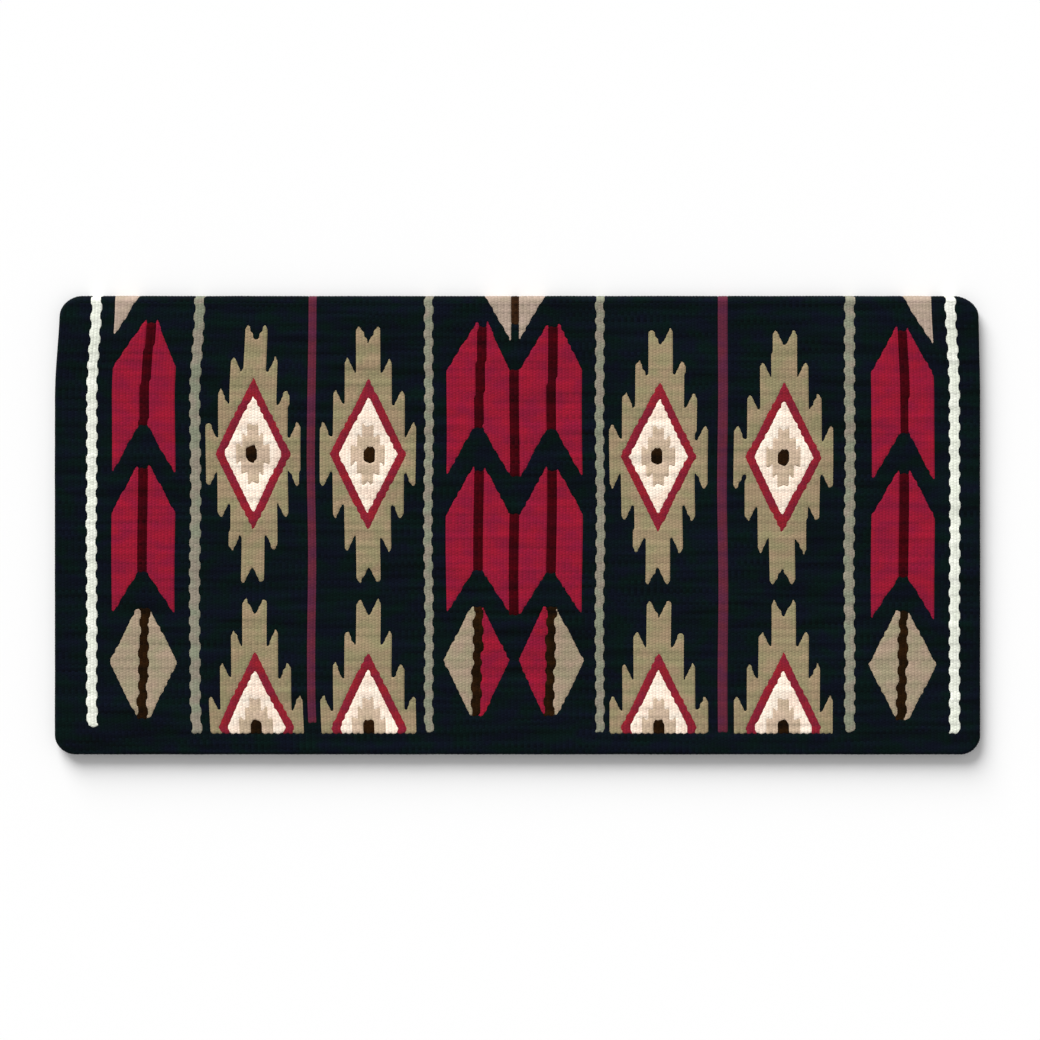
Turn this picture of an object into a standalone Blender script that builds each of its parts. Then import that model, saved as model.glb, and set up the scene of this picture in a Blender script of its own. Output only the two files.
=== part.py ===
"""Saddle blanket: a thick hand-woven wool cloth, folded once along its spine and lying flat.

Metres, +Z up. The origin is the middle of the footprint, on the ground. The fold runs along X
at the +Y edge, and the two hems lie over each other at the -Y edge. The off side is the lower
layer. The near side is the upper layer, and it opens about the fold, up and over to +Y.

The weave is a tapestry: each area of one colour has a yarn of its own, which goes right through
the cloth and turns back where it meets the next area. So each area is a solid of its own, let
into a window of the ground weave with a small gap all round.
"""
import math

import bmesh
import bpy
from mathutils import Matrix, Vector

# The cloth
cloth_thickness = 0.0070
edge_round = 0.0030
hem_corner_radius = 0.016
spine_corner_radius = 0.020
selvedge_draw_in = 0.004
draw_in_length = 0.090

# Gaps: between the folded layers, between their spine ends when open, and round each area
layer_gap = 0.0003
spine_gap = 0.0003
inlay_gap = 0.0003
cut_overrun = 0.0040

# Stripes, which run from the fold towards the hem
cream_stripe_width = 0.0093
tan_stripe_width = 0.0080
crimson_stripe_width = 0.0080
cream_stripe_inset = 0.0059
crimson_stripe_inset = 0.0089

# Medallions: barbed on four sides, with a lozenge at the centre
medallion_1_width = 0.0930
medallion_2_width = 0.0940
medallion_3_width = 0.0970
medallion_4_width = 0.0975
medallion_height = 0.2570
medallion_barbs = 4
barb_slope_drop = 0.0138
barb_slit_width = 0.0012
top_notch_depth = 0.0178
centre_lozenge_width = 0.0710
centre_lozenge_height = 0.1430
half_medallion_foot = 0.0040

# Feathers: two slanted vanes on a narrow quill
vane_width = 0.0260
vane_length = 0.0998
vane_drop = 0.0480
quill_width = 0.0100
quill_recess = 0.0008
feather_width = 2 * vane_width + quill_width

# Split lozenges below the feathers, and half diamonds on the fold above them
lozenge_half_width = 0.0270
lozenge_rise = 0.0500
lozenge_fall = 0.0590
fold_diamond_width = 0.0260
fold_diamond_depth = 0.0395

# Ground left along the length, from the fold to the hem
fold_to_medallion = 0.0267
medallion_spacing = 0.0163
fold_to_feather = 0.0247
feather_spacing = 0.0454
feather_to_lozenge = 0.0385
lozenge_to_end = 0.0136
end_band_width = 0.0198

# Ground left across the width, from the left selvedge to the right one
left_selvedge_to_cream = 0.0312
cream_to_left_feathers = 0.0165
left_feathers_to_tan = 0.0139
tan_to_medallion_1 = 0.0068
medallion_1_to_crimson = 0.0076
crimson_to_medallion_2 = 0.0070
medallion_2_to_tan = 0.0080
tan_to_mid_feathers = 0.0144
mid_feathers_apart = 0.0099
mid_feathers_to_tan = 0.0125
tan_to_medallion_3 = 0.0064
medallion_3_to_crimson = 0.0099
crimson_to_medallion_4 = 0.0079
medallion_4_to_tan = 0.0117
tan_to_right_feathers = 0.0176
right_feathers_to_cream = 0.0156
cream_to_right_selvedge = 0.0215

# Each band that runs from the fold to the hem: its name, the ground before it, and its width
bands = (
    ("cream_stripe_left", left_selvedge_to_cream, cream_stripe_width),
    ("feathers_left", cream_to_left_feathers, feather_width),
    ("tan_stripe_left", left_feathers_to_tan, tan_stripe_width),
    ("medallion_1", tan_to_medallion_1, medallion_1_width),
    ("crimson_stripe_left", medallion_1_to_crimson, crimson_stripe_width),
    ("medallion_2", crimson_to_medallion_2, medallion_2_width),
    ("tan_stripe_mid_left", medallion_2_to_tan, tan_stripe_width),
    ("feathers_mid_left", tan_to_mid_feathers, feather_width),
    ("feathers_mid_right", mid_feathers_apart, feather_width),
    ("tan_stripe_mid_right", mid_feathers_to_tan, tan_stripe_width),
    ("medallion_3", tan_to_medallion_3, medallion_3_width),
    ("crimson_stripe_right", medallion_3_to_crimson, crimson_stripe_width),
    ("medallion_4", crimson_to_medallion_4, medallion_4_width),
    ("tan_stripe_right", medallion_4_to_tan, tan_stripe_width),
    ("feathers_right", tan_to_right_feathers, feather_width),
    ("cream_stripe_right", right_feathers_to_cream, cream_stripe_width),
)
cloth_width = sum(gap + width for _, gap, width in bands) + cream_to_right_selvedge

# The cloth is as deep as its longest column of motifs, with the plain end band after it
medallion_column = fold_to_medallion + medallion_height + medallion_spacing \
    + medallion_height / 2 + half_medallion_foot
feather_column = fold_to_feather + 2 * vane_length + feather_spacing + feather_to_lozenge \
    + lozenge_rise + lozenge_fall + lozenge_to_end
pattern_depth = max(medallion_column, feather_column)
cloth_depth = pattern_depth + end_band_width
fold_y = cloth_depth / 2
pattern_end_y = fold_y - pattern_depth
fold_plane_z = cloth_thickness + layer_gap / 2
hinge_place = Vector((0, fold_y + spine_gap / 2, fold_plane_z))

# How finely round edges and corners are cut
edge_steps = 3
corner_steps = 6
draw_in_steps = 4

# Yarn colours, linear, and how dull the wool is
wool_roughness = 0.92
yarn_colours = {
    "ground": (0.006, 0.009, 0.010),
    "crimson": (0.270, 0.012, 0.034),
    "tan": (0.330, 0.265, 0.170),
    "cream": (0.780, 0.770, 0.680),
    "warm_cream": (0.900, 0.770, 0.630),
    "dull_crimson": (0.125, 0.024, 0.042),
}

# The two layers: the name they share, which way they lie from the fold plane, and their parent
off_side = {"name": "off", "way": -1, "parent": None}
near_side = {"name": "near", "way": 1, "parent": None}


def clear_scene():
    """Take away what the file holds, so that the blanket is alone in it."""
    for thing in list(bpy.data.objects):
        bpy.data.objects.remove(thing, do_unlink=True)


def yarn_material(yarn):
    """Dull wool in the colour of one yarn."""
    material = bpy.data.materials.get(yarn)
    if material is None:
        material = bpy.data.materials.new(yarn)
        material.use_nodes = True
        shader = material.node_tree.nodes["Principled BSDF"]
        shader.inputs["Base Color"].default_value = (*yarn_colours[yarn], 1)
        shader.inputs["Roughness"].default_value = wool_roughness
        shader.inputs["Metallic"].default_value = 0
    return material


def new_empty(name, place):
    """An empty that carries one layer."""
    empty = bpy.data.objects.new(name, None)
    empty.location = place
    bpy.context.collection.objects.link(empty)
    return empty


def new_object(name, mesh, side):
    """An object of one layer, carried by that layer's empty and not moved by it."""
    thing = bpy.data.objects.new(name, mesh)
    bpy.context.collection.objects.link(thing)
    thing.parent = side["parent"]
    thing.matrix_parent_inverse = Matrix.Translation(-side["parent"].location)
    return thing


def hide_tool(thing):
    """Mark a shape that only cuts others."""
    thing.hide_render = True
    thing.display_type = "WIRE"


def combine(thing, operation, tool):
    """Cut an object by another one, or keep what they share."""
    modifier = thing.modifiers.new(tool.name, "BOOLEAN")
    modifier.operation = operation
    modifier.solver = "EXACT"
    modifier.object = tool


def layer_z(side, height):
    """World height of a point that lies a given height off a layer's inner face."""
    return fold_plane_z + side["way"] * (layer_gap / 2 + height)


def finished_mesh(name, shape):
    """A mesh from a bmesh, with its faces outward."""
    bmesh.ops.recalc_face_normals(shape, faces=shape.faces)
    mesh = bpy.data.meshes.new(name)
    shape.to_mesh(mesh)
    shape.free()
    return mesh


def joined_rings(shape, rings):
    """Close a stack of rings with walls between them and a cap at each end."""
    loops = [[shape.verts.new(point) for point in ring] for ring in rings]
    for lower, upper in zip(loops, loops[1:]):
        for i in range(len(lower)):
            j = (i + 1) % len(lower)
            shape.faces.new((lower[i], lower[j], upper[j], upper[i]))
    shape.faces.new(loops[0])
    shape.faces.new(loops[-1])


def prisms(name, outlines, low, high, side):
    """A mesh that holds one upright prism for each outline, between two heights in a layer."""
    shape = bmesh.new()
    for outline in outlines:
        rings = [[(x, y, layer_z(side, height)) for x, y in outline] for height in (low, high)]
        joined_rings(shape, rings)
    return finished_mesh(name, shape)


def grown(outline, margin):
    """An anticlockwise outline moved out by a margin, with mitred corners."""
    count = len(outline)
    points = [Vector(point) for point in outline]
    moved = []
    for i in range(count):
        before = (points[i] - points[i - 1]).normalized()
        after = (points[(i + 1) % count] - points[i]).normalized()
        out_before = Vector((before.y, -before.x))
        out_after = Vector((after.y, -after.x))
        mitre = (out_before + out_after) / (1 + out_before.dot(out_after))
        moved.append(tuple(points[i] + mitre * margin))
    return moved


def edge_inset(height):
    """How far the rounded selvedges and hem lie in from the cloth's full size at a height."""
    radius = min(edge_round, cloth_thickness / 2)
    past = max(radius - height, height - (cloth_thickness - radius), 0)
    return radius - math.sqrt(max(radius ** 2 - past ** 2, 0))


def fold_inset(height):
    """How far the round back of the fold lies in from the fold's furthest line at a height."""
    return cloth_thickness - math.sqrt(max(cloth_thickness ** 2 - height ** 2, 0))


def half_width(y, height):
    """Half the cloth's width, which is drawn in a little where the cloth nears the fold."""
    share = (y - (fold_y - draw_in_length)) / draw_in_length
    share = min(max(share, 0), 1)
    eased = share * share * (3 - 2 * share)
    return cloth_width / 2 - edge_inset(height) - selvedge_draw_in * eased


def arc(centre_x, centre_y, radius, start):
    """Points of a quarter circle, anticlockwise from a start angle."""
    angles = [start + math.pi / 2 * step / corner_steps for step in range(corner_steps + 1)]
    return [(centre_x + radius * math.cos(a), centre_y + radius * math.sin(a)) for a in angles]


def layer_outline(height):
    """The cloth's outline at a height, anticlockwise from the left end of the hem."""
    hem_y = -cloth_depth / 2 + edge_inset(height) + hem_corner_radius
    end_y = fold_y - fold_inset(height) - spine_corner_radius
    hem_x = cloth_width / 2 - edge_inset(height) - hem_corner_radius
    end_x = half_width(end_y, height) - spine_corner_radius
    draw_start = fold_y - draw_in_length
    steps = range(draw_in_steps)
    stations = [draw_start + (end_y - draw_start) * step / draw_in_steps for step in steps]
    right = [(half_width(y, height), y) for y in stations]
    left = [(-x, y) for x, y in reversed(right)]
    outline = arc(-hem_x, hem_y, hem_corner_radius, math.pi)
    outline += arc(hem_x, hem_y, hem_corner_radius, -math.pi / 2)
    outline += right
    outline += arc(end_x, end_y, spine_corner_radius, 0)
    outline += arc(-end_x, end_y, spine_corner_radius, math.pi / 2)
    return outline + left


def layer_heights():
    """Heights of the rings of a layer, closer together where its edges are round."""
    radius = min(edge_round, cloth_thickness / 2)
    turns = [math.pi / 2 * step / edge_steps for step in range(edge_steps + 1)]
    lower = [radius * (1 - math.cos(turn)) for turn in turns]
    upper = [cloth_thickness - height for height in reversed(lower)]
    return lower + [height for height in upper if height > lower[-1] + inlay_gap]


def layer_mesh(name, side):
    """One whole layer of cloth: round at its selvedges, its hem and the back of the fold."""
    shape = bmesh.new()
    rings = []
    for height in layer_heights():
        z = layer_z(side, height)
        rings.append([(x, y, z) for x, y in layer_outline(height)])
    joined_rings(shape, rings)
    return finished_mesh(name, shape)


def band_places():
    """Left and right edge of each band, from the widths of all that lies left of it."""
    places = {}
    x = -cloth_width / 2
    for name, gap, width in bands:
        places[name] = (x + gap, x + gap + width)
        x += gap + width
    return places


def stripe_outline(place, inset):
    """A stripe from past the fold to its end near the end band."""
    left, right = place
    end_y = pattern_end_y + inset
    top_y = fold_y + cut_overrun
    return [(left, end_y), (right, end_y), (right, top_y), (left, top_y)]


def barb_points(width):
    """Upper right quarter of a medallion, from the outermost barb in to the top notch."""
    points = []
    for barb in range(medallion_barbs, 0, -1):
        tip_y = medallion_height / 2 * (medallion_barbs + 1 - barb) / medallion_barbs
        points.append((width / 2 * barb / medallion_barbs, tip_y))
        if barb > 1:
            notch_x = width / 2 * (barb - 1) / medallion_barbs + barb_slit_width
            points.append((notch_x, tip_y - barb_slope_drop))
    return points


def medallion_outline(place, centre_y, foot=None):
    """A whole medallion, or only its upper half on a foot that the end band cuts off."""
    centre_x = (place[0] + place[1]) / 2
    width = place[1] - place[0]
    right = barb_points(width)
    upper = right + [(0, medallion_height / 2 - top_notch_depth)]
    upper += [(-x, y) for x, y in reversed(right)]
    if foot is None:
        lower = [(-x, -y) for x, y in upper]
    else:
        lower = [(-width / 2, -foot), (width / 2, -foot)]
    return [(centre_x + x, centre_y + y) for x, y in upper + lower]


def centre_outline(place, centre_y, foot=None):
    """The lozenge at a medallion's centre, or its upper half cut off at the same foot."""
    centre_x = (place[0] + place[1]) / 2
    side_x = centre_lozenge_width / 2
    top_y = centre_lozenge_height / 2
    points = [(side_x, 0), (0, top_y), (-side_x, 0)]
    if foot is None:
        points.append((0, -top_y))
    else:
        foot_x = side_x * (1 - foot / top_y)
        points += [(-foot_x, -foot), (foot_x, -foot)]
    return [(centre_x + x, centre_y + y) for x, y in points]


def feather_outline(centre_x, top_y):
    """Two vanes and the quill between them, pointing at the fold."""
    quill_x = quill_width / 2
    side_x = quill_x + vane_width
    right = [
        (quill_x, -vane_length),
        (side_x, -vane_length - vane_drop),
        (side_x, -vane_drop),
        (quill_x, 0),
    ]
    points = right + [(-x, y) for x, y in reversed(right)]
    return [(centre_x + x, top_y + y) for x, y in points]


def quill_outline(centre_x, top_y):
    """The quill of one feather, past both of its ends."""
    quill_x = quill_width / 2
    low_y = top_y - vane_length - cut_overrun
    high_y = top_y + cut_overrun
    return [
        (centre_x - quill_x, low_y),
        (centre_x + quill_x, low_y),
        (centre_x + quill_x, high_y),
        (centre_x - quill_x, high_y),
    ]


def lozenge_outline(centre_x, top_y, way):
    """One half of a split lozenge, on the left (-1) or the right (1) of its dividing line."""
    inner_x = centre_x + way * quill_width / 2
    outer_x = inner_x + way * lozenge_half_width
    points = [
        (inner_x, top_y - lozenge_rise - lozenge_fall),
        (outer_x, top_y - lozenge_rise),
        (inner_x, top_y),
    ]
    return points if way > 0 else points[::-1]


def fold_diamond_outline(centre_x, way):
    """A half diamond with its base past the fold and its upright side away from the quill."""
    outer_x = centre_x + way * (quill_width / 2 + vane_width)
    inner_x = outer_x - way * fold_diamond_width
    past_x = inner_x - way * fold_diamond_width * cut_overrun / fold_diamond_depth
    points = [
        (outer_x, fold_y - fold_diamond_depth),
        (outer_x, fold_y + cut_overrun),
        (past_x, fold_y + cut_overrun),
    ]
    return points if way > 0 else points[::-1]


def column_centre(places, name):
    """Middle of a band."""
    return sum(places[name]) / 2


def stripe_areas(places):
    """The stripes: name, yarn and outline of each."""
    kinds = {
        "cream": ("cream", cream_stripe_inset),
        "tan": ("tan", 0),
        "crimson": ("dull_crimson", crimson_stripe_inset),
    }
    areas = []
    for name, place in places.items():
        kind = name.split("_")[0]
        if kind in kinds:
            yarn, inset = kinds[kind]
            areas.append((name, yarn, stripe_outline(place, inset)))
    return areas


def medallion_areas(places, halves):
    """The whole medallions, and where wanted the half ones at the hem, with their centres."""
    whole_y = fold_y - fold_to_medallion - medallion_height / 2
    half_y = pattern_end_y + half_medallion_foot
    bodies = []
    centres = []
    for name, place in places.items():
        if name.startswith("medallion"):
            number = name.split("_")[1]
            bodies.append((name, "tan", medallion_outline(place, whole_y)))
            centres.append((name + "_centre", "warm_cream", centre_outline(place, whole_y)))
            if halves:
                outline = medallion_outline(place, half_y, half_medallion_foot)
                bodies.append(("half_medallion_" + number, "tan", outline))
                outline = centre_outline(place, half_y, half_medallion_foot)
                centres.append(("half_medallion_" + number + "_centre", "warm_cream", outline))
    return bodies, centres


def feather_places(places):
    """Name, middle and top of each feather, two in each column."""
    found = []
    for name in places:
        if name.startswith("feathers"):
            x = column_centre(places, name)
            column = name.removeprefix("feathers_")
            upper_y = fold_y - fold_to_feather
            lower_y = upper_y - vane_length - feather_spacing
            found.append(("feather_" + column + "_upper", x, upper_y))
            found.append(("feather_" + column + "_lower", x, lower_y))
    return found


def lozenge_areas(places):
    """The split lozenges: tan, but crimson on the halves that face each other at mid width."""
    top_y = fold_y - fold_to_feather - 2 * vane_length - feather_spacing - feather_to_lozenge
    yarns = {
        "left": ("tan", "tan"),
        "mid_left": ("tan", "crimson"),
        "mid_right": ("crimson", "tan"),
        "right": ("tan", "tan"),
    }
    areas = []
    for column, (left_yarn, right_yarn) in yarns.items():
        x = column_centre(places, "feathers_" + column)
        name = "lozenge_" + column
        areas.append((name + "_left_half", left_yarn, lozenge_outline(x, top_y, -1)))
        areas.append((name + "_right_half", right_yarn, lozenge_outline(x, top_y, 1)))
    return areas


def fold_diamond_areas(places):
    """The half diamonds on the fold, each on the side of its column that they fill."""
    ways = {"left": -1, "mid_left": 1, "mid_right": -1, "right": 1}
    areas = []
    for column, way in ways.items():
        x = column_centre(places, "feathers_" + column)
        areas.append(("fold_diamond_" + column, "tan", fold_diamond_outline(x, way)))
    return areas


def cutter(name, outlines, side):
    """One hidden tool that cuts a window for each outline right through a layer."""
    low = -cut_overrun
    high = cloth_thickness + cut_overrun
    tool = new_object(name, prisms(name, outlines, low, high, side), side)
    hide_tool(tool)
    return tool


def windows(name, areas, side):
    """The tool that cuts the windows for some areas, each a small gap larger than its area."""
    return cutter(name, [grown(outline, inlay_gap) for _, _, outline in areas], side)


def inlay(area, side, envelope=None):
    """One colour area as a solid, shaped by the layer's round back where it reaches the fold."""
    name, yarn, outline = area
    name = side["name"] + "_" + name
    low = 0
    high = cloth_thickness
    if envelope is not None:
        low -= cut_overrun
        high += cut_overrun
    thing = new_object(name, prisms(name, [outline], low, high, side), side)
    thing.data.materials.append(yarn_material(yarn))
    if envelope is not None:
        combine(thing, "INTERSECT", envelope)
    return thing


def recess_quill(feather, name, centre_x, top_y, side):
    """Keep a feather's quill a little below its vanes on both faces of the cloth."""
    outline = [quill_outline(centre_x, top_y)]
    low = quill_recess
    high = cloth_thickness - quill_recess
    shape = bmesh.new()
    for start, end in ((-cut_overrun, low), (high, cloth_thickness + cut_overrun)):
        rings = [[(x, y, layer_z(side, h)) for x, y in outline[0]] for h in (start, end)]
        joined_rings(shape, rings)
    tool = new_object(name + "_quill_tool", finished_mesh(name + "_quill_tool", shape), side)
    hide_tool(tool)
    combine(feather, "DIFFERENCE", tool)


def build_layer(side, full_pattern):
    """One layer: the ground weave with its windows, and the colour areas that fill them."""
    prefix = side["name"]
    places = band_places()
    envelope = new_object(prefix + "_envelope", layer_mesh(prefix + "_envelope", side), side)
    hide_tool(envelope)
    ground_name = prefix + "_ground_weave"
    ground = new_object(ground_name, layer_mesh(ground_name, side), side)
    ground.data.materials.append(yarn_material("ground"))

    at_fold = stripe_areas(places)
    medallions, centres = medallion_areas(places, full_pattern)
    inner = list(medallions)
    if full_pattern:
        at_fold += fold_diamond_areas(places)
        inner += lozenge_areas(places)
    feathers = []
    if full_pattern:
        for name, x, top_y in feather_places(places):
            feathers.append(((name, "crimson", feather_outline(x, top_y)), x, top_y))
    every = at_fold + inner + [area for area, _, _ in feathers]
    combine(ground, "DIFFERENCE", windows(prefix + "_windows", every, side))

    for area in at_fold:
        inlay(area, side, envelope)
    solids = {area[0]: inlay(area, side) for area in inner}
    for area, x, top_y in feathers:
        recess_quill(inlay(area, side), prefix + "_" + area[0], x, top_y, side)
    if full_pattern:
        centre_tool = windows(prefix + "_centre_windows", centres, side)
        for name, _, _ in medallions:
            combine(solids[name], "DIFFERENCE", centre_tool)
        for area in centres:
            inlay(area, side)


def main():
    """The blanket: its lower layer, and its upper layer on the axis of the fold."""
    clear_scene()
    off_side["parent"] = new_empty("off_side_base", Vector((0, 0, 0)))
    near_side["parent"] = new_empty("near_side_hinge", hinge_place)
    build_layer(off_side, False)
    build_layer(near_side, True)
    bpy.context.view_layer.update()
    print("width", cloth_width, "depth", cloth_depth, "hinge", tuple(hinge_place))


main()
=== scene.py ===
"""Looks of a folded wool saddle blanket, woven in colour areas around a fixed CAD frame.

Each layer is one sheet of tapestry weave, laid out as a grid of half ribs (across, along X) and
half beads (along, towards the fold). A bead is one weft yarn where it passes over a warp. Every
grid cell belongs to one colour area, and each area becomes a closed piece of cloth of its own.
Metres, +Z up, as in the frame.
"""

import math
from collections import namedtuple

import bpy
import numpy as np
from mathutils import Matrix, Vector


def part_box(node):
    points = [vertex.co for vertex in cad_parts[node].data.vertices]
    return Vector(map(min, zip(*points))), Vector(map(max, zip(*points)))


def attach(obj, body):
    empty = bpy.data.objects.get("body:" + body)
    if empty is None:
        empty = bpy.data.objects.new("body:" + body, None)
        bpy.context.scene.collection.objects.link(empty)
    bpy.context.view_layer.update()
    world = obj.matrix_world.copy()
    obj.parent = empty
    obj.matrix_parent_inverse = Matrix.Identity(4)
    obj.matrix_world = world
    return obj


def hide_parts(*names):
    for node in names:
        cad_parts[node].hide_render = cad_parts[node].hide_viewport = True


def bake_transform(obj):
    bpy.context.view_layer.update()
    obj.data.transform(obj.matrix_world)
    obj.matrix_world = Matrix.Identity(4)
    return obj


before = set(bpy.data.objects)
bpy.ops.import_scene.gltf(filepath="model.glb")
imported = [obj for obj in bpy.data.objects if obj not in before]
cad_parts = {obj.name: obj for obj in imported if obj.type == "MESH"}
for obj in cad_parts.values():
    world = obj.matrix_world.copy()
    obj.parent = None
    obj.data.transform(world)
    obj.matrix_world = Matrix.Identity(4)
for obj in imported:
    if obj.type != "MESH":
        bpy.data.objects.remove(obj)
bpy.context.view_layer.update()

# The cloth's own sizes, read from the frame
near_low, near_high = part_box("near_ground_weave")
_, off_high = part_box("off_ground_weave")
cloth_thickness = near_high.z - near_low.z
cloth_half_width = near_high.x
hem_y = near_low.y
fold_y = near_high.y
fold_z = (near_low.z + off_high.z) / 2

# A quarter turn, and the cloth that it takes up beyond its radius, as a share of that radius
quarter_turn = math.pi / 2
turn_slack = quarter_turn - 1

# The weave. Inner faces read their dye and unevenness from further along the ribs
rib_pitch = 0.0032
bead_height = 0.00265
rib_depth = 0.00028
bead_depth = 0.00030
slit_depth = 0.00040
uneven_depth = 0.00050
uneven_size = 0.035
inner_shift = 640 * rib_pitch
border_ease = 0.5
border_rounds = 2
sharp_edge = 60.0

# Outline of the sheet, drawn in towards the fold at the left and at the right selvedge
hem_corner = 0.020
fold_corner = 0.021
hem_overhang = 0.0013
draw_in = (0.0052, 0.0016)
draw_in_length = 0.104
selvedge_sharpness = 30

# How far the stripes are drawn in near the fold, and how far the picks drift between selvedges
inner_draw_in = 0.0049
inner_draw_from_share = (0.30, 0.72)
inner_draw_span_share = (0.45, 0.15)
hem_lean = 0.0040
hem_lean_length = 0.060
drift = 0.0007
drift_lengths = (0.310, 0.173)
drift_phase = 1.3
calm_sharpness = 8

# How much lower the pattern lies at the right end of the fold. It is level at the hem
pick_sag = 0.0096

# Stripes step half a rib to or fro after every three beads. Against its solid each lies a little
# to the right, runs past the lower end, and may be half a rib wider
beat_length = 3 * bead_height
stripe_rounding = 0.25
usual_stripe_shift = 0.0010
stripe_shifts = {
    "tan_stripe_left": 0.0026,
    "crimson_stripe_left": 0.0026,
    "crimson_stripe_right": -0.0006,
    "tan_stripe_right": -0.0006,
}
stripe_overruns = {
    "cream_stripe_left": -0.0010,
    "cream_stripe_right": 0.0055,
    "crimson_stripe_left": -0.0016,
    "crimson_stripe_right": 0.0075,
    "tan_stripe_mid_left": -0.0018,
    "tan_stripe_mid_right": -0.0020,
    "tan_stripe_right": -0.0020,
}
extra_columns = {"tan_stripe_left": 1, "tan_stripe_right": 1, "crimson_stripe_right": 1}

# Medallions, and how far each lies to the right, leans to the right and has its eye off centre.
# The outline's lozenges lie in and out from the centre's solid by so much across and along
barb_count = 4
barb_drop = 0.0158
barb_shoulder = 0.0050
barb_reach = 0.0004
barb_tip_share = 0.25
barb_slit_share = 0.85
top_notch = 0.0178
MedallionPlace = namedtuple("MedallionPlace", "shift lean eye_shift")
medallion_places = {
    "medallion_1": MedallionPlace(0.0022, 0.007, -0.0012),
    "medallion_2": MedallionPlace(-0.0003, 0.001, 0.0018),
    "medallion_3": MedallionPlace(-0.0003, 0.016, -0.0012),
    "medallion_4": MedallionPlace(-0.0004, 0.009, 0.0003),
    "half_medallion_1": MedallionPlace(0.0042, 0.0, 0.0),
    "half_medallion_2": MedallionPlace(-0.0002, 0.0, 0.0),
    "half_medallion_3": MedallionPlace(-0.0002, 0.0, 0.0),
    "half_medallion_4": MedallionPlace(-0.0004, 0.0, 0.0),
}
half_medallion_rise = 0.0020
outline_inward = (0.0066, 0.0134)
outline_outward = (0.0021, 0.0042)
bud_half_width = 0.0166
bud_half_height = 0.0300
bud_barbs = 3
bud_drop = 0.0030
bud_shoulder = 0.0
eye_half_width = 0.0058
eye_half_height = 0.0082
eye_lozenge = 1.5

# Feathers: how far each row rises above its solids, and its length and slants
FeatherShape = namedtuple("FeatherShape", "rise length top_drop bottom_drop")
feather_shapes = {
    "upper": FeatherShape(0.0036, 0.1545, 0.0492, 0.0480),
    "lower": FeatherShape(0.0050, 0.1493, 0.0490, 0.0413),
}

# How far each quill's top lies to the right, its lean, and how much longer the feather is
QuillPlace = namedtuple("QuillPlace", "shift lean longer")
quill_places = {
    "left_upper": QuillPlace(0.0041, 0.044, 0.0),
    "mid_left_upper": QuillPlace(0.0042, 0.050, 0.0),
    "mid_right_upper": QuillPlace(0.0022, 0.026, 0.0010),
    "right_upper": QuillPlace(0.0024, 0.004, 0.0026),
    "left_lower": QuillPlace(-0.0003, 0.0, 0.0),
    "mid_left_lower": QuillPlace(0.0, 0.0, -0.0026),
    "mid_right_lower": QuillPlace(-0.0005, 0.0, 0.0),
    "right_lower": QuillPlace(0.0011, 0.0, 0.0026),
}
quill_half_width = 0.0047
quill_top_drop = 0.0055
quill_straight = 0.0100

# Split lozenges, by column, and the half diamonds on the fold
divider_half_width = 0.0045
divider_lean = 0.030
lozenge_lifts = {"left": 0.0, "mid_left": 0.0020, "mid_right": 0.0020, "right": -0.0012}
lozenge_shifts = {"left": 0.0, "mid_left": -0.0014, "mid_right": -0.0010, "right": 0.0}
lozenge_rise_share = 0.49
lozenge_tip = 0.0010
lozenge_swells = {"lozenge_tan": 0.0015, "crimson": -0.0005}
fold_diamond_slope = 0.57
fold_diamond_drop = 0.0003
fold_diamond_shifts = {"left": -0.0013, "mid_left": 0.0005, "mid_right": -0.0007, "right": 0.0014}
fold_line_share = 0.40

# The skin that closes the back of the fold, and how far the inner faces stay back from it
skin_rows = 9
skin_thickness = 0.0008
skin_gap = 0.0002
skin_rim_share = 0.35
skin_side_margin = 0.022
skin_reach = 0.0065
inner_face_back = 0.0013

# Each yarn's slot in the record, its look and the look that it strays to, 0 to 255
yarn_table = {
    "ground": ("ground_wool", (4, 19, 17), (8, 13, 25)),
    "crimson": ("crimson_wool", (152, 10, 42), (136, 8, 48)),
    "tan": ("tan_wool", (159, 137, 108), (145, 136, 101)),
    "lozenge_tan": ("tan_wool", (169, 147, 126), (156, 146, 118)),
    "pale_tan": ("tan_wool", (183, 161, 146), (170, 153, 134)),
    "stripe_tan": ("tan_wool", (146, 136, 121), (133, 137, 116)),
    "cream": ("cream_wool", (239, 241, 229), (230, 234, 219)),
    "warm_cream": ("warm_cream_wool", (255, 240, 222), (252, 228, 208)),
    "stripe_crimson": ("dull_crimson_wool", (96, 30, 48), (84, 28, 55)),
    "outline_crimson": ("dull_crimson_wool", (142, 22, 36), (126, 22, 44)),
    "bud_tan": ("tan_wool", (207, 182, 158), (193, 172, 145)),
    "eye": ("ground_wool", (26, 14, 2), (38, 20, 4)),
    "quill": ("ground_wool", (64, 1, 8), (54, 2, 10)),
    "brown": ("ground_wool", (56, 34, 18), (46, 26, 10)),
}
black_yarns = ("ground", "eye", "quill", "brown")
black_mottle = 2.8

# Tone of the yarns: where it strays and how strongly, and the painted shade that darkens the furrows and
# the beat lines
middle_tone = 1.07
pick_length = 0.055
pick_spread = 7.3
pick_tone_share = 0.50
batch_size = (0.140, 0.0090)
batch_tone_share = 0.46
fibre_size = (0.0011, 0.0005)
fibre_tone_share = 0.36
stray_size = (0.022, 0.015)
stray_contrast = 3.0
furrow_from_rib = 0.35
furrow_from_bead = 0.65
furrow_shade = 0.10
beat_shade = 0.12
beat_sharpness = 6

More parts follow.
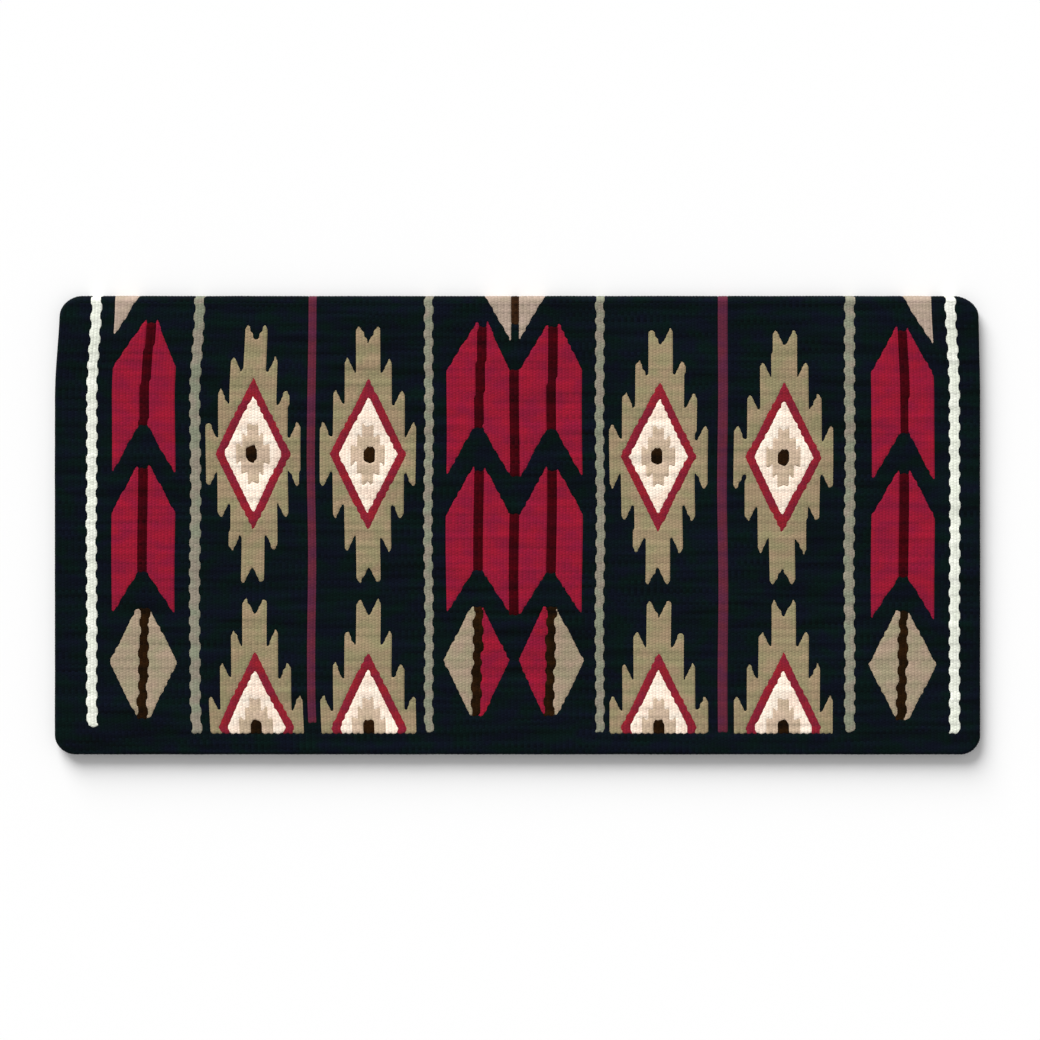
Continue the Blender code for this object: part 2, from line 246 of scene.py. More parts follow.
# Surface of the yarns, pale and black
wool_roughness = 0.88
fibre_roughness = 0.16
pale_specular = 0.20
black_specular = 0.05
pale_sheen = 0.08
black_sheen = 0.01
sheen_roughness = 0.45
ply_size = (0.0011, 0.0016)
rib_bump = 0.28
bead_bump = 0.5
ply_bump = 0.16
fibre_bump = 0.30
bump_strength = 0.7
bump_distance = 0.0006

# Camera and light
photo_width = 1.0260
photo_centre = (0.0025, 0.0044)
camera_height = 5.0
camera_reach = 100.0
sensor_width = 36.0
sky_level = 0.42
sun_level = 0.60
sun_elevation = 30.0
sun_turn = 25.0
sun_spread = 42.0
floor_half = 12.0
floor_white = 0.95
floor_lift = 0.03


class Sum:
    """A number in a node tree. Sums on it add the tree's own maths nodes."""

    def __init__(self, nodes, socket):
        self.nodes = nodes
        self.socket = socket

    def __add__(self, other):
        return self.nodes.maths("ADD", self, other)

    __radd__ = __add__

    def __sub__(self, other):
        return self.nodes.maths("SUBTRACT", self, other)

    def __rsub__(self, other):
        return self.nodes.maths("SUBTRACT", other, self)

    def __mul__(self, other):
        return self.nodes.maths("MULTIPLY", self, other)

    __rmul__ = __mul__

    def __truediv__(self, other):
        return self.nodes.maths("DIVIDE", self, other)

    def __rtruediv__(self, other):
        return self.nodes.maths("DIVIDE", other, self)

    def floor(self):
        return self.nodes.maths("FLOOR", self)

    def odd(self):
        """1 where the whole number below it is odd, and 0 where it is even."""
        half = self.floor() / 2
        return (half - half.floor()) * 2

    def hump(self):
        """0 at whole numbers and 1 halfway between them, round in both."""
        wave = self.nodes.maths("SINE", self * math.pi)
        return wave * wave


class Nodes:
    """A node tree and the one way in which nodes are added to it."""

    def __init__(self, tree):
        self.tree = tree

    def feed(self, socket, value):
        if isinstance(value, Sum):
            value = value.socket
        if isinstance(value, bpy.types.NodeSocket):
            self.tree.links.new(value, socket)
        else:
            socket.default_value = value

    def add(self, kind, settings=None, values=None):
        """A node with its settings made first, and then its sockets filled or linked."""
        node = self.tree.nodes.new(kind)
        for name, value in (settings or {}).items():
            setattr(node, name, value)
        for key, value in (values or {}).items():
            self.feed(node.inputs[key], value)
        return node

    def maths(self, operation, *values):
        node = self.add("ShaderNodeMath", {"operation": operation}, dict(enumerate(values)))
        return Sum(self, node.outputs[0])

    def number(self, node, output=0):
        return Sum(self, node.outputs[output])


def linear(look):
    """A colour as it looks, 0 to 255, as the linear values that a shader takes."""
    shares = [channel / 255 for channel in look]
    return [s / 12.92 if s <= 0.04045 else ((s + 0.055) / 1.055) ** 2.4 for s in shares]


def bead_waves(nodes, across, along):
    """Rib and bead shares at a point of the weave: 1 on a crest, 0 in a furrow or a nick."""
    rib = across / rib_pitch
    stagger = rib.odd() / 2
    bead = along / bead_height + stagger
    return rib.hump(), bead.hump(), bead


def relief_tree():
    """Geometry nodes that press ribs, beads, slits and unevenness into a flat piece of weave."""
    tree = bpy.data.node_groups.new("woven_relief", "GeometryNodeTree")
    nodes = Nodes(tree)
    sockets = tree.interface
    sockets.new_socket("Cloth", in_out="INPUT", socket_type="NodeSocketGeometry")
    for name in ("Rib depth", "Bead depth", "Slit depth", "Uneven depth", "Uneven size"):
        sockets.new_socket(name, in_out="INPUT", socket_type="NodeSocketFloat")
    sockets.new_socket("Yarn", in_out="INPUT", socket_type="NodeSocketMaterial")
    sockets.new_socket("Cloth", in_out="OUTPUT", socket_type="NodeSocketGeometry")
    inputs = nodes.add("NodeGroupInput")

    def stored(name, kind):
        return nodes.add("GeometryNodeInputNamedAttribute", {"data_type": kind}, {"Name": name})

    across = nodes.number(stored("across", "FLOAT"), "Attribute")
    along = nodes.number(stored("along", "FLOAT"), "Attribute")
    border = nodes.number(stored("border", "FLOAT"), "Attribute")
    rib, bead, _ = bead_waves(nodes, across, along)
    place = nodes.add("GeometryNodeInputPosition")
    noise = nodes.add(
        "ShaderNodeTexNoise",
        {"noise_dimensions": "3D"},
        {"Vector": place.outputs[0], "Scale": 1 / nodes.number(inputs, "Uneven size"), "Detail": 1.0},
    )
    depth = nodes.number(inputs, "Rib depth") * (1 - rib)
    depth = depth + nodes.number(inputs, "Bead depth") * rib * (1 - bead)
    depth = depth + nodes.number(inputs, "Slit depth") * border
    depth = depth + nodes.number(inputs, "Uneven depth") * nodes.number(noise, 0)
    press = nodes.add(
        "ShaderNodeVectorMath",
        {"operation": "SCALE"},
        {"Vector": stored("lift", "FLOAT_VECTOR").outputs["Attribute"], "Scale": 0 - depth},
    )
    moved = nodes.add(
        "GeometryNodeSetPosition",
        values={"Geometry": inputs.outputs["Cloth"], "Offset": press.outputs[0]},
    )
    real = nodes.add("GeometryNodeRealizeInstances", values={"Geometry": moved.outputs[0]})
    dyed = nodes.add(
        "GeometryNodeSetMaterial",
        values={"Geometry": real.outputs[0], "Material": inputs.outputs["Yarn"]},
    )
    nodes.add("NodeGroupOutput", values={0: dyed.outputs[0]})
    return tree


def yarn_noise(nodes, x, y, detail):
    """Noise about 0 over the cloth."""
    place = nodes.add("ShaderNodeCombineXYZ", values={"X": x, "Y": y})
    texture = nodes.add(
        "ShaderNodeTexNoise",
        {"noise_dimensions": "2D"},
        {"Vector": place.outputs[0], "Scale": 1.0, "Detail": detail},
    )
    return nodes.number(texture, 0) - 0.5


def dyed_colour(nodes, name, across, along, tone):
    """A yarn's colour as it strays between its two looks, made lighter and darker by a tone."""
    _, look, stray_look = yarn_table[name]
    stray = yarn_noise(nodes, across / stray_size[0], along / stray_size[1], 2.0)
    hue = nodes.add(
        "ShaderNodeMix",
        {"data_type": "RGBA", "clamp_factor": True},
        {0: stray * stray_contrast + 0.5, 6: (*linear(look), 1), 7: (*linear(stray_look), 1)},
    )
    tinted = nodes.add(
        "ShaderNodeVectorMath",
        {"operation": "SCALE"},
        {"Vector": hue.outputs[2], "Scale": tone},
    )
    return tinted.outputs[0]


def wool(name):
    """Spun wool in one colour: uneven picks, painted shade in the furrows, plied strands and a soft nap.
    """
    material = bpy.data.materials.new(name + "_wool")
    material.use_nodes = True
    nodes = Nodes(material.node_tree)
    shader = material.node_tree.nodes["Principled BSDF"]

    weave = nodes.add("ShaderNodeUVMap", {"uv_map": "weave"})
    split = nodes.add("ShaderNodeSeparateXYZ", values={0: weave.outputs[0]})
    across = nodes.number(split, "X")
    along = nodes.number(split, "Y")
    rib, bead, bead_place = bead_waves(nodes, across, along)
    pick = bead_place.floor() * 2 + (across / rib_pitch).odd()

    pick_tone = yarn_noise(nodes, across / pick_length, pick * pick_spread, 1.0)
    batch_tone = yarn_noise(nodes, across / batch_size[0], along / batch_size[1], 2.0)
    fibre_tone = yarn_noise(nodes, across / fibre_size[0], along / fibre_size[1], 2.0)
    beat_line = nodes.maths("POWER", 1 - (along / beat_length).hump(), beat_sharpness)
    furrow = 1 - rib * (furrow_from_rib + bead * furrow_from_bead)
    black = name in black_yarns
    mottle = black_mottle if black else 1.0
    tone = middle_tone + pick_tone * pick_tone_share * mottle
    tone = tone + batch_tone * batch_tone_share * mottle + fibre_tone * fibre_tone_share
    # Painted shade: the colour is darkened in the furrows between ribs and beads, and along a line every
    # third bead
    tone = tone - furrow * furrow_shade - beat_line * beat_shade
    nodes.feed(shader.inputs["Base Color"], dyed_colour(nodes, name, across, along, tone))
    nodes.feed(shader.inputs["Roughness"], wool_roughness + fibre_tone * fibre_roughness)
    shader.inputs["Specular IOR Level"].default_value = black_specular if black else pale_specular
    shader.inputs["Sheen Weight"].default_value = black_sheen if black else pale_sheen
    shader.inputs["Sheen Roughness"].default_value = sheen_roughness

    ply = (across / ply_size[0] + along / ply_size[1] + pick_tone).hump()
    height = rib * rib_bump + bead * rib * bead_bump + ply * ply_bump + fibre_tone * fibre_bump
    bump = nodes.add(
        "ShaderNodeBump",
        values={"Strength": bump_strength, "Distance": bump_distance, "Height": height},
    )
    nodes.feed(shader.inputs["Normal"], bump.outputs[0])
    return material


def vertex_cells(cells):
    """The four cells round each grid vertex: below left, below right, above left, above right."""
    padded = np.pad(cells, 1, constant_values=-1)
    return padded[:-1, :-1], padded[:-1, 1:], padded[1:, :-1], padded[1:, 1:]


def eased(share):
    """A share from 0 to 1 that starts and ends gently."""
    share = np.clip(share, 0, 1)
    return share * share * (3 - 2 * share)


class Sheet:
    """The grid of one layer, lying on its inner face, with its rounded edges and colour borders."""

    def __init__(self):
        self.lay_grid()
        self.roll_edges()

    def lay_grid(self):
        """Even rows and columns over the cloth as it is before its edges turn down."""
        self.side_reach = cloth_half_width + turn_slack * cloth_thickness / 2
        self.hem_reach = hem_y - hem_overhang - turn_slack * cloth_thickness / 2
        self.fold_reach = fold_y + turn_slack * cloth_thickness
        self.columns = 4 * round(self.side_reach / rib_pitch)
        self.rows = 2 * round((self.fold_reach - self.hem_reach) / bead_height)
        u = np.linspace(-self.side_reach, self.side_reach, self.columns + 1)
        v = np.linspace(self.hem_reach, self.fold_reach, self.rows + 1)
        self.u, self.v = np.meshgrid(u, v)
        across = np.arange(self.columns + 1) * rib_pitch / 2
        along = np.arange(self.rows + 1) * bead_height / 2
        self.across, self.along = np.meshgrid(across, along)

    def outline(self, u, v):
        """How far points lie inside the outline, and the way out from there."""
        middle = (self.hem_reach + self.fold_reach) / 2
        upper = v > middle
        fold_radius = fold_corner + turn_slack * cloth_thickness
        hem_radius = hem_corner + turn_slack * cloth_thickness / 2
        radius = np.where(upper, fold_radius, hem_radius)
        past_x = np.abs(u) - (self.side_reach - radius)
        past_y = np.where(upper, v - (self.fold_reach - radius), self.hem_reach + radius - v)
        corner_x = np.maximum(past_x, 0)
        corner_y = np.maximum(past_y, 0)
        reach = np.hypot(corner_x, corner_y)
        inside = radius - reach - np.minimum(np.maximum(past_x, past_y), 0)
        in_corner = (past_x > 0) & (past_y > 0)
        some_reach = np.maximum(reach, 1e-9)
        way_x = np.where(in_corner, corner_x / some_reach, past_x > past_y) * np.sign(u)
        way_y = np.where(in_corner, corner_y / some_reach, past_x <= past_y) * np.where(upper, 1, -1)
        return inside, way_x, way_y

    def roll_edges(self):
        """Snap the rim to the outline, then turn the rim and the back of the fold down."""
        centre_u = (self.u[:-1, :-1] + self.u[1:, 1:]) / 2
        centre_v = (self.v[:-1, :-1] + self.v[1:, 1:]) / 2
        self.inside = self.outline(centre_u, centre_v)[0] > 0
        around = vertex_cells(self.inside.astype(int))
        some = np.maximum.reduce(around) > 0
        self.rim = some & (np.minimum.reduce(around) < 1)
        depth, way_x, way_y = self.outline(self.u, self.v)
        u = self.u + np.where(self.rim, way_x * depth, 0)
        v = self.v + np.where(self.rim, way_y * depth, 0)
        depth = np.where(self.rim, 0, depth)

        foldness = np.where(way_y > 0, way_y ** 2, 0)
        radius = cloth_thickness / 2 * (1 + foldness)
        turn = np.clip(depth / (quarter_turn * radius), 0, 1) * quarter_turn
        slack = turn_slack * radius
        plan = np.where(turn < quarter_turn, radius * (1 - np.cos(turn)), depth - slack)
        self.x = u + way_x * (depth - slack - plan)
        self.y = v + way_y * (depth - slack - plan)
        self.outer = cloth_thickness - radius * (1 - np.sin(turn))
        under = cloth_thickness - radius
        short = np.maximum(under - plan, 0)
        self.inner = under - np.sqrt(np.maximum(under ** 2 - short ** 2, 0))
        self.outer_lift = np.stack([way_x * np.cos(turn), way_y * np.cos(turn), np.sin(turn)], axis=-1)
        lean = short / np.maximum(under, 1e-9)
        drop = -np.sqrt(np.maximum(1 - lean ** 2, 0))
        self.inner_lift = np.stack([way_x * lean, way_y * lean, drop], axis=-1)

    def skin_columns(self):
        """Columns that the skin round the fold spans, and how far the cloth sinks to carry it."""
        straight = (np.abs(self.x[-1]) < cloth_half_width - skin_side_margin) & self.rim[-1]
        first, *_, last = np.nonzero(straight)[0]
        carried = slice(1 - skin_rows + self.rows, None), slice(first + 1, last)
        self.sunk = np.zeros(self.x.shape)
        self.sunk[carried] = skin_thickness + skin_gap
        self.drawn_back = np.zeros(self.x.shape)
        self.drawn_back[carried] = np.linspace(0, inner_face_back, skin_rows + 1)[1:, None]
        return slice(first, last)

    def cell_places(self):
        """Plan place at which each cell's colour is chosen: its own x, and its bead's middle."""
        x = (self.x[:-1, :-1] + self.x[1:, 1:]) / 2
        row, column = np.mgrid[0:self.rows, 0:self.columns]
        odd_rib = (column // 2) % 2
        middle = 2 * ((row + odd_rib) // 2) + 1 - odd_rib
        middle = np.clip(middle, 0, self.rows)
        return x, self.y[middle, column]

    def ease_borders(self, areas):
        """Pull the vertices along colour borders into line, as yarns at a border do."""
        left, right = areas[:, :-1], areas[:, 1:]
        up_edge = np.zeros((self.rows, self.columns + 1), bool)
        up_edge[:, 1:-1] = left != right
        across_edge = np.zeros((self.rows + 1, self.columns), bool)
        across_edge[1:-1] = areas[:-1] != areas[1:]

        def border_sum(value):
            """Sum of a value over each vertex's neighbours along the borders."""
            total = np.zeros(value.shape)
            total[:-1] += up_edge * value[1:]
            total[1:] += up_edge * value[:-1]
            total[:, :-1] += across_edge * value[:, 1:]
            total[:, 1:] += across_edge * value[:, :-1]
            return total

        count = border_sum(np.ones(self.x.shape))
        self.border = count > 0
        free = self.border & ~self.rim
        for _ in range(border_rounds):
            for name in ("x", "y"):
                value = getattr(self, name)
                mean = border_sum(value) / np.maximum(count, 1)
                setattr(self, name, np.where(free, value + border_ease * (mean - value), value))

    def settle(self):
        """Draw the selvedges and stripes in towards the fold, and let the picks drift a little."""
        outward = self.x / cloth_half_width
        reach = np.abs(outward)
        left = outward < 0
        start = np.where(left, *inner_draw_from_share)
        span = np.where(left, *inner_draw_span_share)
        selvedge = reach ** selvedge_sharpness
        pull = inner_draw_in * eased((reach - start) / span) * (1 - selvedge)
        pull = pull + np.where(left, *draw_in) * selvedge
        near_fold = eased(1 - (fold_y - self.y) / draw_in_length)
        near_hem = eased(1 - (self.y - hem_y) / hem_lean_length)
        calm = 1 - reach ** calm_sharpness
        waves = [self.y / length + drift_phase * outward for length in drift_lengths]
        wave = sum(np.sin(2 * math.pi * turns) for turns in waves)
        wander = drift * wave / len(drift_lengths) + hem_lean * near_hem * np.maximum(-outward, 0)
        self.x = self.x - pull * near_fold * np.sign(outward) + calm * wander


def centre_and_size(node):
    """Middle and size of a CAD node in plan."""
    low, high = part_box(node)
    return (low.x + high.x) / 2, (low.y + high.y) / 2, high.x - low.x, high.y - low.y


def barbed(dx, dy, half_width, half_height, barbs, drop, shoulder, notch):
    """Inside a motif whose four sides climb in barbs, with a notch at its top and bottom.

    A barb's tip lies a little in from its outer side, and a slit parts it from the next one in.
    """
    dx, dy = np.abs(dx), np.abs(dy)
    step = half_width / barbs
    barb = np.clip(np.ceil(dx / step), 1, barbs)
    tip = half_height * (barbs + 1 - barb) / barbs + np.where(barb == 1, 0, barb_reach)
    share = barb - dx / step
    fall = np.where(barb == 1, notch, drop)
    slit_share = np.where(barb == 1, 1, barb_slit_share)
    inward = np.clip((share - barb_tip_share) / (slit_share - barb_tip_share), 0, 1)
    outward = np.clip(1 - share / barb_tip_share, 0, 1)
    return (dx < half_width) & (dy < tip - fall * inward - shoulder * outward)


def lozenge(dx, dy, half_width, half_height):
    """Inside a lozenge with straight sides."""
    return np.abs(dx) / half_width + np.abs(dy) / half_height < 1


class Pattern:
    """Every colour area of one layer, painted over the cells in order."""

    def __init__(self, sheet):
        self.sheet = sheet
        self.x, self.y = sheet.cell_places()
        height_share = np.clip((self.y - hem_y) / (fold_y - hem_y), 0, 1)
        self.y = self.y + pick_sag * height_share * (self.x / cloth_half_width + 1) / 2
        self.areas = [("ground", "ground", "ground_weave")]
        self.cells = np.where(sheet.inside, 0, -1)

    def paint(self, name, yarn, node, mask):
        """Give the cells under a mask to a new area."""
        self.areas.append((name, yarn, node))
        self.cells[mask & self.sheet.inside] = len(self.areas) - 1

    def step_share(self):
        """0 or 1, as the stripes step to and fro from the fold down."""
        return np.floor((fold_y - self.y) / beat_length) % 2

    def stripe(self, name, yarn):
        """A stripe of whole columns. All but the crimson ones step to and fro."""
        low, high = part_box("near_" + name)
        cell = rib_pitch / 2
        width = round((high.x - low.x) / cell) * cell
        start = low.x + (high.x - low.x - width) / 2
        shift = (self.step_share() - 0.5) * cell if yarn != "stripe_crimson" else 0
        shift = shift + stripe_shifts.get(name, usual_stripe_shift)
        column = np.floor((self.x - start - shift) / cell + stripe_rounding)
        columns = round(width / cell) + extra_columns.get(name, 0)
        end = low.y - stripe_overruns.get(name, 0)
        self.paint(name, yarn, name, (column >= 0) & (column < columns) & (self.y > end))

    def medallion(self, number, half):
        """A barbed medallion with its outlined centre, bud and eye, whole or cut by the end band."""
        name = ("half_medallion_" if half else "medallion_") + str(number)
        x, y, width, height = centre_and_size("near_medallion_" + str(number))
        _, _, centre_width, centre_height = centre_and_size("near_medallion_" + str(number) + "_centre")
        if half:
            low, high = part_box("near_" + name)
            y = high.y - height / 2 + half_medallion_rise
            cut = self.y > low.y
        else:
            cut = True
        place = medallion_places[name]
        dy = self.y - y
        dx = self.x - x - place.shift - place.lean * dy
        body = barbed(dx, dy, width / 2, height / 2, barb_count, barb_drop, barb_shoulder, top_notch)
        self.paint(name, "tan", name, body & cut)
        centre = name + "_centre"
        half_x, half_y = centre_width / 2, centre_height / 2
        outer = lozenge(dx, dy, half_x + outline_outward[0], half_y + outline_outward[1])
        self.paint(name + "_outline", "outline_crimson", centre, outer & cut)
        inner = lozenge(dx, dy, half_x - outline_inward[0], half_y - outline_inward[1])
        self.paint(centre, "warm_cream", centre, inner & cut)
        bud = barbed(dx, dy, bud_half_width, bud_half_height, bud_barbs, bud_drop, bud_shoulder, bud_drop)
        self.paint(name + "_bud", "bud_tan", centre, bud & cut)
        dx = dx - place.eye_shift
        eye = (np.abs(dx) < eye_half_width) & (np.abs(dy) < eye_half_height)
        eye &= lozenge(dx, dy, eye_lozenge * eye_half_width, eye_lozenge * eye_half_height)
        self.paint(name + "_eye", "eye", centre, eye & cut)

    def seam(self, place):
        """The narrow dark red line between the two middle feathers."""
        _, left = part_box("near_feather_mid_left_" + place)
        right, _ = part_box("near_feather_mid_right_" + place)
        shape = feather_shapes[place]
        top = left.y + shape.rise
        line = (self.x > left.x - rib_pitch / 4) & (self.x < right.x + rib_pitch / 4)
        line &= (self.y < top - shape.top_drop) & (self.y > top - shape.length)
        self.paint("feather_seam_" + place, "quill", "ground_weave", line)

    def feather(self, column, place):
        """Two vanes, slanting the same way at top and bottom, on either side of a leaning quill."""
        name = "feather_" + column + "_" + place
        shape = feather_shapes[place]
        x, y, width, height = centre_and_size("near_" + name)
        top = y + height / 2 + shape.rise
        quill = quill_places[column + "_" + place]
        quill_x = quill.shift - quill.lean * np.maximum(top - self.y - quill_straight, 0)
        from_quill = self.x - x - quill_x
        side = width / 2 - np.sign(from_quill) * quill_x
        out = np.clip((np.abs(from_quill) - quill_half_width) / (side - quill_half_width), 0, 1)
        body = (np.abs(from_quill) < side) & (self.y < top - shape.top_drop * out)
        body &= self.y > top - shape.length - quill.longer + shape.bottom_drop * (1 - out)
        line = np.abs(from_quill) < quill_half_width
        self.paint(name + "_quill", "quill", name, body & line & (self.y < top - quill_top_drop))
        self.paint(name + "_vanes", "crimson", name, body & ~line)

    def split_lozenge(self, column, yarns):
        """Two halves on either side of a dark line that steps to and fro."""
        _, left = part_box("near_lozenge_" + column + "_left_half")
        right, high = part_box("near_lozenge_" + column + "_right_half")
        widen = (right.x - left.x) / 2 - divider_half_width
        lift = lozenge_lifts[column]
        x = self.x - lozenge_shifts[column]
        lean = divider_lean * (self.y - (right.y + high.y) / 2)
        line = (x - lean > left.x - rib_pitch / 4) & (x - lean < right.x + rib_pitch / 4)
        line &= (self.y < high.y + lift) & (self.y > right.y + lift)
        name = "lozenge_" + column
        self.paint(name + "_line", "eye", name + "_left_half", line)
        for side, way, yarn in (("left", -1, yarns[0]), ("right", 1, yarns[1])):
            name = "lozenge_" + column + "_" + side + "_half"
            low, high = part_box("near_" + name)
            inner_x = high.x if way < 0 else low.x
            shift = (self.step_share() - 0.5) * rib_pitch / 2 + lean
            rise = (high.y - low.y) * lozenge_rise_share
            dx = (x - inner_x) * way
            wide = high.x - low.x + lozenge_swells[yarn] - lozenge_tip
            shy = high.y + lift - self.y
            fall = (high.y - low.y) - rise
            share = np.where(shy < rise, shy / rise, (high.y - low.y - shy) / fall)
            reach = np.where(share > 0, lozenge_tip + wide * share, 0)
            mask = (dx > shift * way - widen) & (dx < reach) & (share > 0)
            self.paint(name, yarn, name, mask)

    def fold_diamond(self, column, way):
        """Half of a diamond on the fold, with one straight side and one that slants."""
        name = "fold_diamond_" + column
        low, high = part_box("near_" + name)
        straight_x = low.x if way < 0 else high.x
        dx = (straight_x + fold_diamond_shifts[column] - self.x) * way
        reach = fold_diamond_slope * (self.y - low.y + fold_diamond_drop)
        self.paint(name, "pale_tan", name, (dx > 0) & (dx < reach))

    def fold_line(self):
        """The brown line between the two middle half diamonds, which stops short of their tips."""
        _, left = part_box("near_fold_diamond_mid_left")
        right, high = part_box("near_fold_diamond_mid_right")
        line = (self.x > left.x - rib_pitch) & (self.x < right.x + rib_pitch)
        line &= self.y > right.y + fold_line_share * (high.y - right.y)
        self.paint("fold_line", "brown", "ground_weave", line)

    def weave(self):
        """The whole layer, from the stripes to the fold diamonds."""
        for side in ("left", "right"):
            self.stripe("cream_stripe_" + side, "cream")
            self.stripe("crimson_stripe_" + side, "stripe_crimson")
        for side in ("left", "mid_left", "mid_right", "right"):
            self.stripe("tan_stripe_" + side, "stripe_tan")
        for number in range(1, 5):
            self.medallion(number, False)
            self.medallion(number, True)
        for place in ("upper", "lower"):
            self.seam(place)
            for column in ("left", "mid_left", "mid_right", "right"):
                self.feather(column, place)
        self.split_lozenge("left", ("lozenge_tan", "lozenge_tan"))
        self.split_lozenge("mid_left", ("lozenge_tan", "crimson"))
        self.split_lozenge("mid_right", ("crimson", "lozenge_tan"))
        self.split_lozenge("right", ("lozenge_tan", "lozenge_tan"))
        self.fold_line()
        for column, way in (("left", -1), ("mid_left", 1), ("mid_right", -1), ("right", 1)):
            self.fold_diamond(column, way)


class Layer:
    """One of the two layers as arrays of points, ready to be cut into pieces."""

    def __init__(self, sheet, name, body, base_z, way):
        self.name = name
        self.body = body
        self.way = way
        flip = np.array([1, 1, way])
        sunk = sheet.sunk[..., None] * sheet.outer_lift
        outer = np.stack([sheet.x, sheet.y, sheet.outer], axis=-1) - sunk
        inner = np.stack([sheet.x, sheet.y - sheet.drawn_back, sheet.inner], axis=-1)
        base = np.array([0, 0, base_z])
        self.outer = (outer * flip + base).reshape(-1, 3)
        self.inner = (inner * flip + base).reshape(-1, 3)
        self.outer_lift = (sheet.outer_lift * flip).reshape(-1, 3)
        self.inner_lift = (sheet.inner_lift * flip).reshape(-1, 3)


def split_pinches(mask, corners, cell_ids):
    """Give each of two cells that touch only at a corner a vertex of its own there."""
    height, width = mask.shape[0] + 1, mask.shape[1] + 1
    below_left, below_right, above_left, above_right = (c > 0 for c in vertex_cells(mask.astype(int)))
    rising = above_right & below_left & ~above_left & ~below_right
    falling = above_left & below_right & ~above_right & ~below_left
    source = [np.arange(height * width)]
    count = height * width
    for pinch, column_shift, corner in ((rising, 0, 0), (falling, -1, 1)):
        row, column = np.nonzero(pinch)
        corners[cell_ids[row, column + column_shift], corner] = count + np.arange(len(row))
        source.append(row * width + column)
        count += len(row)
    return np.concatenate(source)


def cell_walls(mask, corners, row, column):
    """Pairs of corners along which a cell has no neighbour in its own piece."""
    padded = np.pad(mask, 1)
    pairs = []
    for corner, (up, right) in enumerate(((-1, 0), (0, 1), (1, 0), (0, -1))):
        open_side = ~padded[row + 1 + up, column + 1 + right]
        pairs.append(corners[open_side][:, [(corner + 1) % 4, corner]])
    return np.concatenate(pairs)


def cut_out(mask):
    """An area's cells as corners of its own vertices, each vertex's place in the grid, and walls."""
    row, column = np.nonzero(mask)
    width = mask.shape[1] + 1
    first = row * width + column
    corners = np.stack([first, first + 1, first + width + 1, first + width], axis=1)
    cell_ids = np.full(mask.shape, -1)
    cell_ids[row, column] = np.arange(len(row))
    source = split_pinches(mask, corners, cell_ids)
    used, quads = np.unique(corners, return_inverse=True)
    quads = quads.reshape(-1, 4)
    return quads, source[used], cell_walls(mask, quads, row, column)


def flat_mesh(name, points, faces, lifts, weave, borders):
    """A mesh from arrays, with what the relief tree reads stored on its vertices."""
    mesh = bpy.data.meshes.new(name)
    sizes = np.concatenate([np.full(len(f), f.shape[1]) for f in faces])
    loops = np.concatenate([f.ravel() for f in faces]).astype(np.int32)
    starts = np.concatenate([[0], np.cumsum(sizes)[:-1]]).astype(np.int32)
    mesh.vertices.add(len(points))
    mesh.vertices.foreach_set("co", points.astype(np.float32).ravel())
    mesh.loops.add(len(loops))
    mesh.loops.foreach_set("vertex_index", loops)
    mesh.polygons.add(len(starts))
    mesh.polygons.foreach_set("loop_start", starts)
    mesh.update(calc_edges=True)
    for key, values in (("across", weave[:, 0]), ("along", weave[:, 1]), ("border", borders)):
        stored = mesh.attributes.new(key, "FLOAT", "POINT")
        stored.data.foreach_set("value", values.astype(np.float32))
    stored = mesh.attributes.new("lift", "FLOAT_VECTOR", "POINT")
    stored.data.foreach_set("vector", lifts.astype(np.float32).ravel())
    mesh.uv_layers.new(name="weave").data.foreach_set("uv", weave[loops].astype(np.float32).ravel())
    mesh.polygons.foreach_set("use_smooth", np.ones(len(starts), bool))
    return mesh


def woven_piece(name, mask, layer, sheet):
    """One colour area of a layer as a closed flat piece: outer face, inner face and sides."""
    quads, grid, walls = cut_out(mask)
    rim = sheet.rim.ravel()[grid]
    below = np.where(rim, np.arange(len(grid)), len(grid) + np.cumsum(~rim) - 1)
    start_rim, end_rim = rim[walls[:, 0]], rim[walls[:, 1]]
    whole = walls[~start_rim & ~end_rim]
    from_rim = walls[start_rim & ~end_rim]
    to_rim = walls[end_rim & ~start_rim]
    faces = [
        quads,
        below[quads][:, ::-1],
        np.column_stack([whole, below[whole[:, ::-1]]]),
        np.column_stack([from_rim, below[from_rim[:, 1]]]),
        np.column_stack([to_rim, below[to_rim[:, 0]]]),
    ]
    if layer.way < 0:
        faces = [face[:, ::-1] for face in faces]
    inner_grid = grid[~rim]
    weave = np.stack([sheet.across.ravel(), sheet.along.ravel()], axis=1)
    border = sheet.border.ravel()
    return flat_mesh(
        name,
        np.concatenate([layer.outer[grid], layer.inner[inner_grid]]),
        [face for face in faces if len(face)],
        np.concatenate([layer.outer_lift[grid], layer.inner_lift[inner_grid]]),
        np.concatenate([weave[grid], weave[inner_grid] + [inner_shift, 0.0]]),
        np.concatenate([border[grid], border[inner_grid]]),
    )


